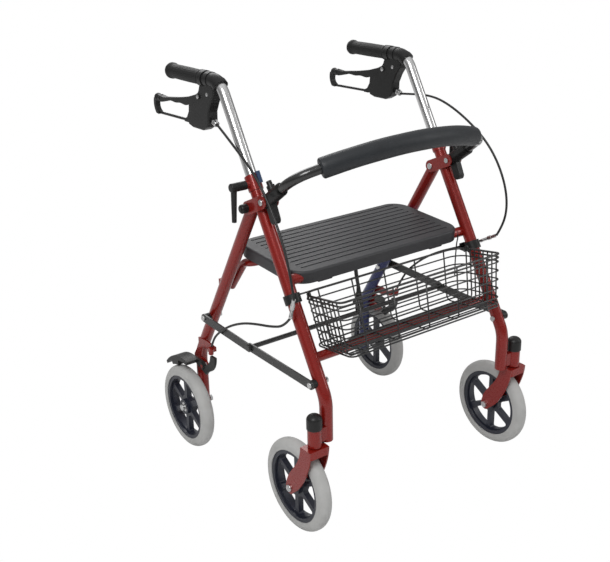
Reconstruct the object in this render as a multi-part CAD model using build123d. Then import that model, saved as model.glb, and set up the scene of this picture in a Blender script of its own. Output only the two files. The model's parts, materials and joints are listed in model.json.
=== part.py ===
"""Folding four-wheel walker with a seat, hinged backrest, wire basket and cable brakes.

Millimetres.  X runs across the walker, +Y points back towards the person who pushes it, +Z is up.
The walker faces -Y.  Left and right are the pushing person's, so the left side is +X.
Every shape is drawn about a working origin between the legs on the floor, and is then moved by
ORIGIN_Y, so that the origin of the finished part lies under the middle of its overall box.
"""
from build123d import *
from math import atan2, cos, degrees, pi, radians, sin, sqrt, tan
import os

ORIGIN_Y = 91.92                # distance from the working origin to the middle of the box
SIDES = {"left": 1, "right": -1}

# frame tubes
TUBE_R = 12.7                   # legs, outside
BORE_R = 11.05                  # legs, inside
LEG_X = 236.0
FRONT_TOP = (46.1, 671.2)       # (y, z) of the open top of a front leg
FRONT_BEND = (-175.4, 289.8)
FRONT_FOOT = (-175.4, 205.9)
REAR_PIVOT = (43.0, 610.5)
REAR_BEND = (281.3, 218.0)
REAR_FOOT = (281.3, 80.0)
LEG_BEND_R = 70.0
LOWER_BAR = (-124.0, 351.0)
LOWER_BAR_R = 9.5
SEAT_BAR = (-50.0, 485.0)
SEAT_BAR_R = 10.5
BACKREST_BOLT = (-7.0, 633.0)
CLAMP = (38.0, 657.0)           # axis of the height clamp, through the middle of the leg

# casters and wheels
WHEEL_R = 95.0
TYRE_W = 28.0
RIM_R = 74.0
HUB_W = 26.0
CASTER = (268.2, -181.4)        # (x, y) of the swivel axis
TRAIL = 54.0
REAR_WHEEL_X = 276.9
REAR_AXLE = (281.3, WHEEL_R)
AXLE_R = 4.0
BEARING_R = 11.0
BEARING_W = 7.0

# fold braces
BRACE_FRONT = (-158.2, 319.5)
BRACE_MID = (43.0, 322.0)
BRACE_REAR = (214.5, 328.0)
BRACE_X = 261.0
BRACE_T = 3.0
BRACE_H = 18.0
BRACE_GAP = 0.5                 # between the front braces, inside, and the rear braces, outside
BOLT_R = 3.0
FLAT_HEAD = 2.4                 # low bolt heads inside the legs, which the seat swings past
ROD_R = 5.0

# seat, in its own tilted frame with the hinge bar at the origin
SEAT_TILT = 3.2
SEAT_HALF_W = 217.0
SEAT_BACK = 195.0
SEAT_NOSE = 16.0
SEAT_TOP = 14.6
SEAT_WALL = 2.8
SEAT_SKIRT = 10.0
SEAT_CORNER = 40.0
GROOVES = 11

# handles
HANDLE_R = 11.0
GRIP_Z = 833.0
HANDLE_END_Y = 327.0
GRIP_START = 204.0
GRIP_END = 331.0
HANDLE_BEND_R = 45.0
LEVER_PIVOT = (206.0, 798.0)
LEVER_W = 12.0
HOUSING_W = 23.0

# backrest arc, drawn in a tilted plane through the two bracket bolts
BACK_HALF_W = 236.0
BACK_TILT = 36.0
BACK_STRAIGHT = 68.0
BACK_CORNER_R = 55.0
BACK_DEPTH = 170.0
BACK_TUBE_R = 9.5
PAD_R = 19.5
PAD_HALF_W = 190.0
SOCKET_R = 13.0
SOCKET_L = 55.0

# basket: (y, z) of its four long edges, half widths at rim and floor
BASKET_TOP_BACK = (-62.0, 457.0)
BASKET_TOP_FRONT = (-184.0, 477.0)
BASKET_LOW_BACK = (-89.0, 358.0)
BASKET_LOW_FRONT = (-201.0, 372.0)
BASKET_TOP_W = 207.0
BASKET_LOW_W = 194.0
BASKET_WALL = 2.0

# brakes
CABLE_R = 2.5
BRAKE_PIVOT = (238.0, 205.0)
STOP_POINT = (190.0, 262.0)
CABLE_X = 262.0

UPPER_ROUTE = {
    "left": [(237, 158.5, 748.6), (246, 126, 751), (252, 92, 753), (254, 52, 749), (256, 6, 733), (258, -40, 709),
             (261, -82, 678), (264, -112, 640), (265, -134, 596), (265, -142, 553), (264, -135, 514), (262, -120, 487)],
    "right": [(-237, 158.5, 748.6), (-245, 116, 736), (-251.5, 68, 717), (-254, 19, 692), (-256, -22, 659),
              (-258, -56, 620), (-260, -85, 578), (-261.5, -104, 534), (-262, -114, 500), (-262, -118, 478)],
}
LOWER_ROUTE = {
    "left": [(262, -76, 463), (263, -40, 444), (265, 4, 424), (267, 50, 403), (269, 96, 377), (269, 138, 345),
             (267, 170, 312), (262, 188, 272)],
    "right": [(-262, -106, 438), (-263, -86, 414), (-265, -46, 400), (-267, 0, 390), (-268, 48, 376),
              (-269, 96, 354), (-269, 138, 326), (-267, 170, 298), (-262, 188, 272)],
}

NODES = {}


def add(name, *solids):
    """Files the solids of one node under its name."""
    NODES[name] = solids[0] if len(solids) == 1 else Compound(children=list(solids))


def along(a, b):
    """Unit vector from a to b."""
    return (Vector(*b) - Vector(*a)).normalized()


def rod(a, b, r, hole=0.0):
    """Straight round bar, or tube if hole is given, from point a to point b."""
    axis = Vector(*b) - Vector(*a)
    face = Circle(r) - Circle(hole) if hole else Circle(r)
    return extrude(Plane(origin=a, z_dir=axis) * face, axis.length)


def bent(points, radii, r, hole=0.0):
    """Round tube swept along straight runs joined by tangent arcs."""
    path = FilletPolyline(*points, radius=radii)
    face = Circle(r) - Circle(hole) if hole else Circle(r)
    return sweep(Plane(origin=path @ 0, z_dir=path % 0) * face, path)


def across(y, z, x0, x1, r, hole=0.0):
    """Round bar along X."""
    return rod((x0, y, z), (x1, y, z), r, hole)


def plate_yz(x0, x1, face):
    """Flat plate between x0 and x1, its outline drawn as (y, z)."""
    base = Plane(origin=(min(x0, x1), 0, 0), x_dir=(0, 1, 0), z_dir=(1, 0, 0))
    return extrude(base * face, abs(x1 - x0))


def slot_between(a, b, r):
    """Outline of a bar with round ends, from a to b in (y, z)."""
    length = sqrt((b[0] - a[0]) ** 2 + (b[1] - a[1]) ** 2)
    angle = degrees(atan2(b[1] - a[1], b[0] - a[0]))
    middle = ((a[0] + b[0]) / 2, (a[1] + b[1]) / 2)
    return Pos(*middle) * Rot(0, 0, angle) * SlotCenterToCenter(length, 2 * r)


def box(x0, x1, y0, y1, z0, z1):
    """Box between two corners."""
    middle = ((x0 + x1) / 2, (y0 + y1) / 2, (z0 + z1) / 2)
    return Pos(*middle) * Box(abs(x1 - x0), abs(y1 - y0), abs(z1 - z0))


def front_leg_y(z):
    """y of a front leg's centre line at height z, above its bend."""
    slope = (FRONT_TOP[0] - FRONT_BEND[0]) / (FRONT_TOP[1] - FRONT_BEND[1])
    return FRONT_BEND[0] + (z - FRONT_BEND[1]) * slope


FRONT_BRACE_X = BRACE_X - BRACE_T - BRACE_GAP           # middle of a front brace's thickness
LEG_DIR = along((0, *FRONT_BEND), (0, *FRONT_TOP))      # up a front leg
LEG_FRONT = Vector(0, -LEG_DIR.Z, LEG_DIR.Y)            # square to it, forwards and up


def on_leg(x, z, forwards=0.0, up=0.0):
    """Point beside a front leg: forwards of its centre line at height z, and up along it."""
    return Vector(x, front_leg_y(z), z) + LEG_FRONT * forwards + LEG_DIR * up


def leg_block(x, width, z, low, high, near, far):
    """Block lying along a front leg, between two distances in front of its centre line."""
    plane = Plane(origin=on_leg(x, z, (near + far) / 2, (low + high) / 2), x_dir=(1, 0, 0), z_dir=LEG_DIR)
    return plane * Box(width, abs(far - near), high - low)


# ---------------------------------------------------------------- front frame

def front_leg(x):
    """Bent front tube, open at the top for the handle tube."""
    points = [(x, *FRONT_TOP), (x, *FRONT_BEND), (x, *FRONT_FOOT)]
    return bent(points, LEG_BEND_R, TUBE_R, BORE_R)


def leg_solid(x):
    """The same leg filled in, used to cope whatever is welded to it."""
    points = [(x, *FRONT_TOP), (x, *FRONT_BEND), (x, *FRONT_FOOT)]
    return bent(points, LEG_BEND_R, TUBE_R)


def crossbar(centre, r, wall):
    """Round bar between the front legs, coped to them."""
    bar = across(*centre, -LEG_X, LEG_X, r, r - wall)
    for s in SIDES.values():
        bar -= leg_solid(s * LEG_X)
    return bar


def caster_housing(s):
    """Upright tube for the swivel stem, with the plates that join it to the leg."""
    x, y = s * CASTER[0], CASTER[1]
    tube = rod((x, y, 206.5), (x, y, 243), 13.5, BEARING_R)
    tube += rod((x, y, 214), (x, y, 236), 13.5, 6.0)
    web = box(s * LEG_X, x, y - 5, y + 7, 212, 240)
    web -= rod((x, y, 200), (x, y, 250), 12)
    return tube + (web - leg_solid(s * LEG_X))


def caster_cap(s):
    """Domed dust cap over the housing."""
    x, y = s * CASTER[0], CASTER[1]
    cap = rod((x, y, 243.1), (x, y, 262), 15.0)
    cap += Pos(x, y, 262) * scale(Sphere(15.0), (1, 1, 0.75))
    cap -= rod((x, y, 243), (x, y, 262), 10.0)
    return cap


def caster_bearings(s):
    """Ball bearings at the two ends of the housing, seen as plain rings."""
    x, y = s * CASTER[0], CASTER[1]
    return [rod((x, y, z), (x, y, z + BEARING_W), BEARING_R, 5.05) for z in (206.6, 236.0)]


def pivot_bracket(s):
    """Saddle welded round the front leg, with ears for the rear leg and for the backrest."""
    x = s * LEG_X
    outline = slot_between(REAR_PIVOT, BACKREST_BOLT, 13.0)
    body = plate_yz(x - 15.8, x + 15.8, outline) - leg_solid(x)
    gap = 13.2
    z = (REAR_PIVOT[1] + BACKREST_BOLT[1]) / 2
    body -= leg_block(x, 2 * gap, z, -60, 60, -13.4, -60)
    body -= leg_block(x, 2 * gap, z, -60, 60, 13.4, 60)
    for (y, zz), r in ((REAR_PIVOT, AXLE_R), (BACKREST_BOLT, BOLT_R)):
        body -= across(y, zz, x - 20, x + 20, r + 0.05)
    return body


def hex_bolt(y, z, x_head, x_end, r, head_r, head_t, nut_t=None):
    """Bolt along X with a domed head at x_head and a nut at x_end, 1.2 radii thick unless given."""
    d = 1 if x_head > x_end else -1
    shank = across(y, z, x_head, x_end, r)
    head = across(y, z, x_head, x_head + d * head_t, head_r)
    head = fillet(head.faces().sort_by(Axis.X)[-1 if d > 0 else 0].edges(), head_t * 0.6)
    nut_face = Plane(origin=(x_end, y, z), z_dir=(d, 0, 0)) * RegularPolygon(head_r, 6)
    return shank + head + extrude(nut_face, nut_t or r * 1.2)


def frame_bolts(s):
    """Silver bolts of the front frame: rear-leg pivot, backrest hinge and brace."""
    x = s * LEG_X
    out, inn = x + s * 15.9, x - s * 15.9
    pivot = hex_bolt(*REAR_PIVOT, inn, out + s * 4.8, AXLE_R, 7.0, FLAT_HEAD)
    hinge = hex_bolt(*BACKREST_BOLT, out, inn - s * FLAT_HEAD, BOLT_R, 6.0, 3.5, FLAT_HEAD)
    brace = hex_bolt(*BRACE_FRONT, s * (FRONT_BRACE_X + BRACE_T / 2 + 0.4), x - s * (TUBE_R + 3.6), BOLT_R, 6.0, 3.5)
    return [pivot, hinge, brace]


def pivot_cap(s):
    """Black domed cap over the nut of the rear-leg pivot."""
    x = s * (LEG_X + 15.9)
    cap = across(*REAR_PIVOT, x, x + s * 15.0, 9.0)
    cap = fillet(cap.faces().sort_by(Axis.X)[-1 if s > 0 else 0].edges(), 5.0)
    return cap - across(*REAR_PIVOT, x - s, x + s * 9.0, 7.2)


def handle_collar(s):
    """Split collar at the top of the leg, with the boss of the height clamp."""
    x = s * LEG_X
    low, high = on_leg(x, CLAMP[1], 0, -14), on_leg(x, CLAMP[1], 0, 15.5)
    ring = rod(low, high, 14.6, TUBE_R)
    boss = across(*CLAMP, x + s * 10, x + s * 19, 8.0) - rod(low, high, TUBE_R)
    return ring + boss - across(*CLAMP, x, x + s * 30, 3.3)


def cable_guide(s):
    """Plastic strip at the front of the collar that keeps the brake cable off the tube."""
    x = s * (LEG_X - 5)
    strip = leg_block(x, 8.0, CLAMP[1], -4, 18.6, 14.9, 18.0)
    hook = leg_block(x, 8.0, CLAMP[1], 15.8, 18.6, 12.2, 15.0) - rod(
        on_leg(s * LEG_X, CLAMP[1], 0, -30), on_leg(s * LEG_X, CLAMP[1], 0, 40), 11.6)
    return strip + hook


def basket_clip(s):
    """Snap clip round the front leg, with the lip that holds the basket's hanger wire."""
    x = s * LEG_X
    z = 459.0
    ring = rod(on_leg(x, z, 0, -9), on_leg(x, z, 0, 9), 16.4, TUBE_R)
    lip = box(x - s * 19, x - s * 4, -72, -57, 448, 454.8)
    back = box(x - s * 19, x - s * 4, -59.8, -57, 448, 462)
    return ring + ((lip + back) - rod(on_leg(x, z, 0, -40), on_leg(x, z, 0, 40), 14))


def spacer(point, s, end):
    """Plastic spacer that carries a brace out from its leg, as far as x = end."""
    x0, x1 = s * (LEG_X + TUBE_R - 2.0), s * end
    return across(*point, x0, x1, 8.5, BOLT_R + 0.05)


def build_front_frame():
    """All the nodes of the front frame."""
    bore_mid = across(*BRACE_FRONT, -300, 300, BOLT_R + 0.05)
    spacers, bolts, housings, caps, bearings = [], [], [], [], []
    brackets, pivot_caps, collars, guides, clips = [], [], [], [], []
    for side, s in SIDES.items():
        stud_hole = across(*CLAMP, s * LEG_X, s * (LEG_X + 20), 3.3)
        add(f"front_leg_{side}", front_leg(s * LEG_X) - bore_mid - stud_hole)
        spacers.append(spacer(BRACE_FRONT, s, FRONT_BRACE_X - BRACE_T / 2 - 0.5) - leg_solid(s * LEG_X))
        bolts += frame_bolts(s)
        housings.append(caster_housing(s))
        caps.append(caster_cap(s))
        bearings += caster_bearings(s)
        brackets.append(pivot_bracket(s))
        pivot_caps.append(pivot_cap(s))
        collars.append(handle_collar(s))
        guides.append(cable_guide(s))
        clips.append(basket_clip(s))
    add("lower_crossbar", crossbar(LOWER_BAR, LOWER_BAR_R, 1.5))
    add("seat_crossbar", crossbar(SEAT_BAR, SEAT_BAR_R, 1.5))
    add("caster_housings", *housings)
    add("caster_caps", *caps)
    add("caster_bearings", *bearings)
    add("pivot_brackets", *brackets)
    add("pivot_caps", *pivot_caps)
    add("frame_bolts_front", *bolts)
    add("handle_collars", *collars)
    add("cable_guides", *guides)
    add("basket_clips", *clips)
    add("brace_spacers_front", *spacers)


# ---------------------------------------------------------------- rear frame

REAR_DIR = along((0, *REAR_BEND), (0, *REAR_PIVOT))


def rear_leg_points(x):
    """Corners of a rear leg's centre line, from just above its pivot to the foot."""
    top = Vector(x, *REAR_PIVOT) + REAR_DIR * 6.0
    return [tuple(top), (x, *REAR_BEND), (x, *REAR_FOOT)]


def rear_leg_solid(s):
    """The same leg filled in, used to cope whatever is welded to it."""
    return bent(rear_leg_points(s * LEG_X), LEG_BEND_R, TUBE_R)


def rear_leg(s):
    """Bent rear tube with cross bores for the pivot, brace and axle."""
    x = s * LEG_X
    leg = bent(rear_leg_points(x), LEG_BEND_R, TUBE_R, BORE_R)
    leg += across(*REAR_PIVOT, x - TUBE_R + 0.6, x + TUBE_R - 0.6, 5.8)
    leg += across(*REAR_AXLE, x - TUBE_R + 0.6, x + TUBE_R - 0.6, 6.5)
    for point, r in ((REAR_PIVOT, AXLE_R), (REAR_AXLE, AXLE_R), (BRACE_REAR, BOLT_R)):
        leg -= across(*point, x - 20, x + 20, r + 0.05)
    return leg


def seat_support():
    """U tube that carries the back of the seat, welded inside the rear legs."""
    x, r = 205.0, 8.5
    path = [(x, 188.0, 396.0), (x, 134.0, 464.0), (x, 98.0, 474.3)]
    path += [(-px, py, pz) for px, py, pz in reversed(path)]
    tube = bent(path, [34, 19, 19, 34], r, r - 1.5)
    lugs = []
    for s in SIDES.values():
        lug = box(s * x, s * LEG_X, 176, 188, 398, 420) - rear_leg_solid(s)
        lugs.append(lug - rod((s * x, 188, 396), (s * x, 134, 464), r - 1.0))
    return tube + lugs[0] + lugs[1]


def rear_axle(s):
    """Axle bolt through the foot of the rear leg, with its washers and nut."""
    x_in, x_out = s * (LEG_X - TUBE_R - 1.0), s * (REAR_WHEEL_X + HUB_W / 2 + 2.5)
    bolt = hex_bolt(*REAR_AXLE, x_out, x_in - s * 4.8, AXLE_R, 7.5, 4.0)
    collar = across(*REAR_AXLE, s * (LEG_X + TUBE_R), s * (REAR_WHEEL_X - HUB_W / 2 + 0.5), 6.5, AXLE_R)
    return bolt + collar


def wheel_bearings(x, y):
    """The two ball bearings of one wheel, seen as plain rings."""
    ends = (-HUB_W / 2 + 1.0, HUB_W / 2 - 1.0 - BEARING_W)
    return [across(y, WHEEL_R, x + e, x + e + BEARING_W, BEARING_R, AXLE_R + 0.02) for e in ends]


def brake_stop(s):
    """Tab welded to the rear leg, with the boss that the cable's outer casing ends in."""
    x = s * LEG_X
    y, z = STOP_POINT
    tab = plate_yz(x + s * 10.0, x + s * 14.0, make_face(Polyline(
        (266, 262), (226, 265), (205, 262), (202, 252), (228, 247), (266, 244), close=True)))
    tab += plate_yz(x + s * 10.0, x + s * 14.0, make_face(Polyline(
        (288, 215), (240, 214), (230, 205), (240, 196), (288, 197), close=True)))
    tab += plate_yz(x + s * 10.0, x + s * 14.0, make_face(Polyline(
        (266, 246), (248, 246), (262, 214), (288, 214), close=True)))
    tab -= rear_leg_solid(s)
    tab += box(x + s * 10, s * CABLE_X, y + 7, y + 16, z - 10, z)
    tab += rod((s * CABLE_X, y - 1, z + 5), (s * CABLE_X, y + 3.5, z - 10), 5.5)
    pin = across(*BRAKE_PIVOT, x + s * 9.9, s * 262.8, 4.0)
    return tab + pin


def brake_spring(s):
    """Return spring on the brake pin, drawn as the sleeve that its coils fill."""
    return across(*BRAKE_PIVOT, s * 251.4, s * 254.2, 7.5, 4.1)


def rear_bolt(s):
    """Brace bolt of the rear leg."""
    head = s * (BRACE_X + BRACE_T / 2 + 0.4)
    return hex_bolt(*BRACE_REAR, head, s * (LEG_X - TUBE_R - 3.6), BOLT_R, 6.0, 3.5)


def build_rear_frame():
    """All the nodes of the rear frame, which swings about the two top pivots."""
    axles, bearings, hardware, stops, spacers = [], [], [], [], []
    for side, s in SIDES.items():
        add(f"rear_leg_{side}", rear_leg(s))
        axles.append(rear_axle(s))
        bearings += wheel_bearings(s * REAR_WHEEL_X, REAR_AXLE[0])
        spacers.append(spacer(BRACE_REAR, s, BRACE_X - BRACE_T / 2 - 0.5) - rear_leg_solid(s))
        hardware += [rear_bolt(s), brake_spring(s)]
        stops.append(brake_stop(s))
    add("seat_support_tube", seat_support())
    add("rear_axles", *axles)
    add("rear_wheel_bearings", *bearings)
    add("brace_spacers_rear", *spacers)
    add("frame_hardware_rear", *hardware)
    add("brake_stops", *stops)


def brake_arm(s):
    """Rocking brake arm: cable hook in front of the pin, shoe over the tyre behind it."""
    hook = make_face([ThreePointArc((183, 244), (188, 222), (214, 200)), Line((214, 200), (224, 189)),
                      Line((224, 189), (240, 195)), Line((240, 195), (272, 205)), Line((272, 205), (270, 214)),
                      Line((270, 214), (238, 215)), Line((238, 215), (229, 209)),
                      ThreePointArc((229, 209), (206, 227), (201, 243)), Line((201, 243), (183, 244))])
    wing = make_face([ThreePointArc((258, 214), (304, 213.5), (354, 182)), Line((354, 182), (351, 177)),
                      ThreePointArc((351, 177), (306, 202), (262, 205)), Line((262, 205), (258, 214))])
    shoe = make_face([ThreePointArc((300, 191.4), (313, 188.5), (326, 183.6)), Line((326, 183.6), (332, 192)),
                      Line((332, 192), (302, 206)), Line((302, 206), (300, 191.4))])
    arm = plate_yz(s * 254.6, s * 260.6, hook) + across(*BRAKE_PIVOT, s * 254.6, s * 262.4, 8.0)
    arm += plate_yz(s * 257.0, s * 287.0, wing) + plate_yz(s * 267.0, s * 286.0, shoe)
    return arm - across(*BRAKE_PIVOT, s * 250, s * 295, 4.05)


# ---------------------------------------------------------------- wheels

def tyre(x, y):
    """Solid tyre with a rounded tread."""
    ring = across(y, WHEEL_R, x - TYRE_W / 2, x + TYRE_W / 2, WHEEL_R)
    ring = fillet(ring.edges().filter_by(GeomType.CIRCLE), 12.5)
    return ring - across(y, WHEEL_R, x - TYRE_W, x + TYRE_W, RIM_R)


def hub(x, y):
    """Plastic hub: rim, six spokes with windows between them, and the bearing boss."""
    spoke, inner_r, outer_r = 11.0, 24.0, 63.0
    half = HUB_W / 2
    rim = Circle(RIM_R) - Circle(66.0)
    web = Circle(68.0) - Circle(BEARING_R)
    a0, a1 = (30 - degrees(spoke / 2 / r) for r in (inner_r, outer_r))
    polar = ((inner_r, -a0), (outer_r, -a1), (outer_r, 0), (outer_r, a1), (inner_r, a0))
    ring = [(r * cos(radians(a)), r * sin(radians(a))) for r, a in polar]
    window = make_face([Line(ring[0], ring[1]), ThreePointArc(ring[1], ring[2], ring[3]),
                        Line(ring[3], ring[4]), Line(ring[4], ring[0])])
    window = fillet(window.vertices(), 4.0)
    for k in range(6):
        web -= Rot(0, 0, 60 * k) * window
    plane = Plane(origin=(x, y, WHEEL_R), x_dir=(0, 1, 0), z_dir=(1, 0, 0))
    body = extrude(plane * rim, half - 1.0, both=True) + extrude(plane * web, 6.0, both=True)
    body += extrude(plane * (Circle(17.0) - Circle(6.0)), half, both=True)
    for end in (-half - 1, half - BEARING_W - 1.1):
        body -= across(y, WHEEL_R, x + end, x + end + BEARING_W + 2.1, BEARING_R + 0.05)
    return body


def caster_fork(s):
    """Fork with its stem: crown, two swept blades and the pin in the housing."""
    x, y = s * CASTER[0], CASTER[1]
    axle_y = y + TRAIL
    stem = rod((x, y, 200), (x, y, 252), 5.0) + rod((x, y, 243.4), (x, y, 249), 8.5)
    crown = box(x - 22.5, x + 22.5, y - 16, y + 15, 188, 204.5)
    crown = fillet(crown.edges().filter_by(Axis.Z), 6.0)
    front = Spline((-197.0, 204.0), (-183.0, 150.0), (-139.0, 90.0), tangents=[(0.05, -1), (0.8, -0.6)])
    eye = ThreePointArc((-139.0, 90.0), (-127.4, 83.0), (-116.0, 95.0))
    back = Spline((-116.0, 95.0), (-141.0, 146.0), (-166.0, 204.0), tangents=[(-0.1, 1), (-0.05, 1)])
    face = make_face([front, eye, back, Line((-166.0, 204.0), (-197.0, 204.0))])
    blades = [plate_yz(x + d * 19.5, x + d * 22.5, face) for d in (-1, 1)]
    fork = stem + crown + blades[0] + blades[1]
    return fork - across(axle_y, WHEEL_R, x - 30, x + 30, AXLE_R + 0.05)


def front_axle(s):
    """Axle bolt of a caster with its spacers, and the wheel's two bearings."""
    x, y = s * CASTER[0], CASTER[1] + TRAIL
    bolt = hex_bolt(y, WHEEL_R, x + s * 22.6, x - s * 27.4, AXLE_R, 7.5, 4.0)
    spacers = [across(y, WHEEL_R, x + d * (HUB_W / 2 + 0.5), x + d * 19.4, 6.5, AXLE_R) for d in (-1, 1)]
    return [bolt + spacers[0] + spacers[1], *wheel_bearings(x, y)]


def build_wheels():
    """Casters and the four wheels."""
    for side, s in SIDES.items():
        places = {"front": (s * CASTER[0], CASTER[1] + TRAIL), "rear": (s * REAR_WHEEL_X, REAR_AXLE[0])}
        for end, (x, y) in places.items():
            add(f"tyre_{end}_{side}", tyre(x, y))
            add(f"hub_{end}_{side}", hub(x, y))
        add(f"caster_fork_{side}", caster_fork(s))
        add(f"front_axle_{side}", *front_axle(s))
        add(f"brake_arm_{side}", brake_arm(s))


# ---------------------------------------------------------------- seat and braces

def seat_shell():
    """Moulded seat: ribbed deck that rests on the support by its deep ribs, skirt, and clips over the hinge bar."""
    mid = (SEAT_BACK - SEAT_NOSE) / 2
    length = SEAT_BACK + SEAT_NOSE
    outer = extrude(RectangleRounded(2 * SEAT_HALF_W, length, SEAT_CORNER), SEAT_TOP + SEAT_SKIRT)
    outer = fillet(outer.faces().sort_by(Axis.Z)[-1].edges(), 5.0)
    inner = extrude(RectangleRounded(2 * (SEAT_HALF_W - SEAT_WALL), length - 2 * SEAT_WALL,
                                     SEAT_CORNER - SEAT_WALL), SEAT_TOP + SEAT_SKIRT - SEAT_WALL)
    seat = Pos(0, mid, -SEAT_SKIRT) * (outer - inner)
    pitch = 17.0
    groove = SlotOverall(2 * SEAT_HALF_W - 52, 4.0)
    for k in range(GROOVES):
        y = 8.0 + k * pitch
        seat -= Pos(0, y, SEAT_TOP - 1.2) * extrude(groove, 2.0)
    y0, y1 = SEAT_BAR_R + 4.0, SEAT_BACK - SEAT_WALL
    top = SEAT_TOP - SEAT_WALL
    for x in (-120, -60, 0, 60, 120):
        seat += box(x - 1.2, x + 1.2, y0, y1, -SEAT_SKIRT, top)
    for x in (-145, 145):
        clip = box(x - 15, x + 15, -SEAT_BAR_R - 3.2, SEAT_BAR_R + 4.2, -SEAT_BAR_R - 6.0, top)
        clip = fillet(clip.edges().filter_by(Axis.X).sort_by(Axis.Z)[:2], 7.0)
        seat += clip
    seat -= across(0, 0, -300, 300, SEAT_BAR_R + 0.06)
    seat -= box(-300, 300, -2.0, 2.0, -SEAT_BAR_R - 8, -SEAT_BAR_R + 1)
    return Pos(0, *SEAT_BAR) * Rot(SEAT_TILT, 0, 0) * seat


def brace(a, b, s, x):
    """Flat bar with round ends and a hole at a, its middle at a distance x from the centre plane."""
    x0, x1 = s * (x - BRACE_T / 2), s * (x + BRACE_T / 2)
    bar = plate_yz(x0, x1, slot_between(a, b, BRACE_H / 2))
    return bar - across(*a, x0 - 5, x1 + 5, BOLT_R + 0.08)


def pivot_rivet(s):
    """Domed rivet head that closes the braces' shared pivot, carried by the rear brace."""
    x = s * (BRACE_X + BRACE_T / 2)
    head = across(*BRACE_MID, x - s, x + s * 2.4, 6.5)
    return fillet(head.faces().sort_by(Axis.X)[-1 if s > 0 else 0].edges(), 1.6)


def lift_strap():
    """Webbing loop standing up from the cross rod, pulled to fold the walker."""
    x, (y, z) = 24.0, BRACE_MID
    width, t = 20.0, 1.6
    top = 470.0
    outer = Polyline((y - ROD_R - t, z), (y + 6, top - 12), (y + 20, top), (y + 33, top - 14), (y + ROD_R + t, z))
    inner = Polyline((y - ROD_R, z), (y + 6 + t, top - 12 - t), (y + 20, top - t), (y + 33 - t, top - 14 - t),
                     (y + ROD_R, z))
    face = make_face(Wire([*outer.edges(), Line((y + ROD_R + t, z), (y + ROD_R, z)), *inner.edges(),
                           Line((y - ROD_R, z), (y - ROD_R - t, z))]))
    strap = plate_yz(x - width / 2, x + width / 2, face)
    strap += across(y, z, x - width / 2, x + width / 2, ROD_R + t)
    return strap - across(y, z, x - width, x + width, ROD_R + 0.05)


def build_seat_and_braces():
    """Seat, the two pairs of fold braces, their cross rod and the lift strap."""
    add("seat_shell", seat_shell())
    rod_hole = across(*BRACE_MID, -300, 300, ROD_R + 0.05)
    fronts = [brace(BRACE_FRONT, BRACE_MID, s, FRONT_BRACE_X) - rod_hole for s in SIDES.values()]
    add("braces_front", *fronts)
    rod_end = FRONT_BRACE_X + BRACE_T / 2
    add("cross_rod", across(*BRACE_MID, -rod_end, rod_end, ROD_R))
    rears = [brace(BRACE_REAR, BRACE_MID, s, BRACE_X) + pivot_rivet(s) for s in SIDES.values()]
    add("braces_rear", *rears)
    add("lift_strap", lift_strap())


# ---------------------------------------------------------------- handles

BEND_Y = front_leg_y(GRIP_Z) + HANDLE_BEND_R * tan(atan2(LEG_DIR.Z, LEG_DIR.Y) / 2)


def handle_points(s, low):
    """Corners of a handle's centre line, from the point low on the leg's axis to the grip's end."""
    x = s * LEG_X
    return [tuple(low), (x, front_leg_y(GRIP_Z), GRIP_Z), (x, HANDLE_END_Y, GRIP_Z)]


def handle_tube(s):
    """Bright tube that slides in the front leg and bends back into the hand grip."""
    foot = on_leg(s * LEG_X, FRONT_TOP[1], 0, -230)
    return bent(handle_points(s, foot), HANDLE_BEND_R, HANDLE_R, HANDLE_R - 1.5)


def handle_blank(s):
    """The handle tube filled in, used to bore what is clamped round it."""
    return bent(handle_points(s, on_leg(s * LEG_X, 700.0)), HANDLE_BEND_R, HANDLE_R)


def grip(s):
    """Soft hand grip with a flared end."""
    x = s * LEG_X
    body = rod((x, GRIP_START, GRIP_Z), (x, GRIP_END, GRIP_Z), 14.5)
    body += rod((x, GRIP_END - 14, GRIP_Z), (x, GRIP_END, GRIP_Z), 17.0)
    return body - rod((x, GRIP_START - 5, GRIP_Z), (x, HANDLE_END_Y, GRIP_Z), HANDLE_R)


def bend_point(x, angle):
    """Point of the handle's bend, an angle in degrees after the straight that carries the grip."""
    a = radians(angle)
    return (x, BEND_Y - HANDLE_BEND_R * sin(a), GRIP_Z - HANDLE_BEND_R * (1 - cos(a)))


def cable_socket(s, side):
    """Boss and neck that the cable's casing ends in, bored where the casing enters."""
    x = s * LEG_X
    start, after = Vector(*UPPER_ROUTE[side][0]), Vector(*UPPER_ROUTE[side][1])
    run = (after - start).normalized()
    boss = rod((x, 184, 757), (s * 236.6, 165, 750.6), 5.5) + rod((s * 236.6, 165, 750.6), start, 4.2)
    return boss - rod(start - run * 2.0, start + run * 6.0, CABLE_R + 0.3)


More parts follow.
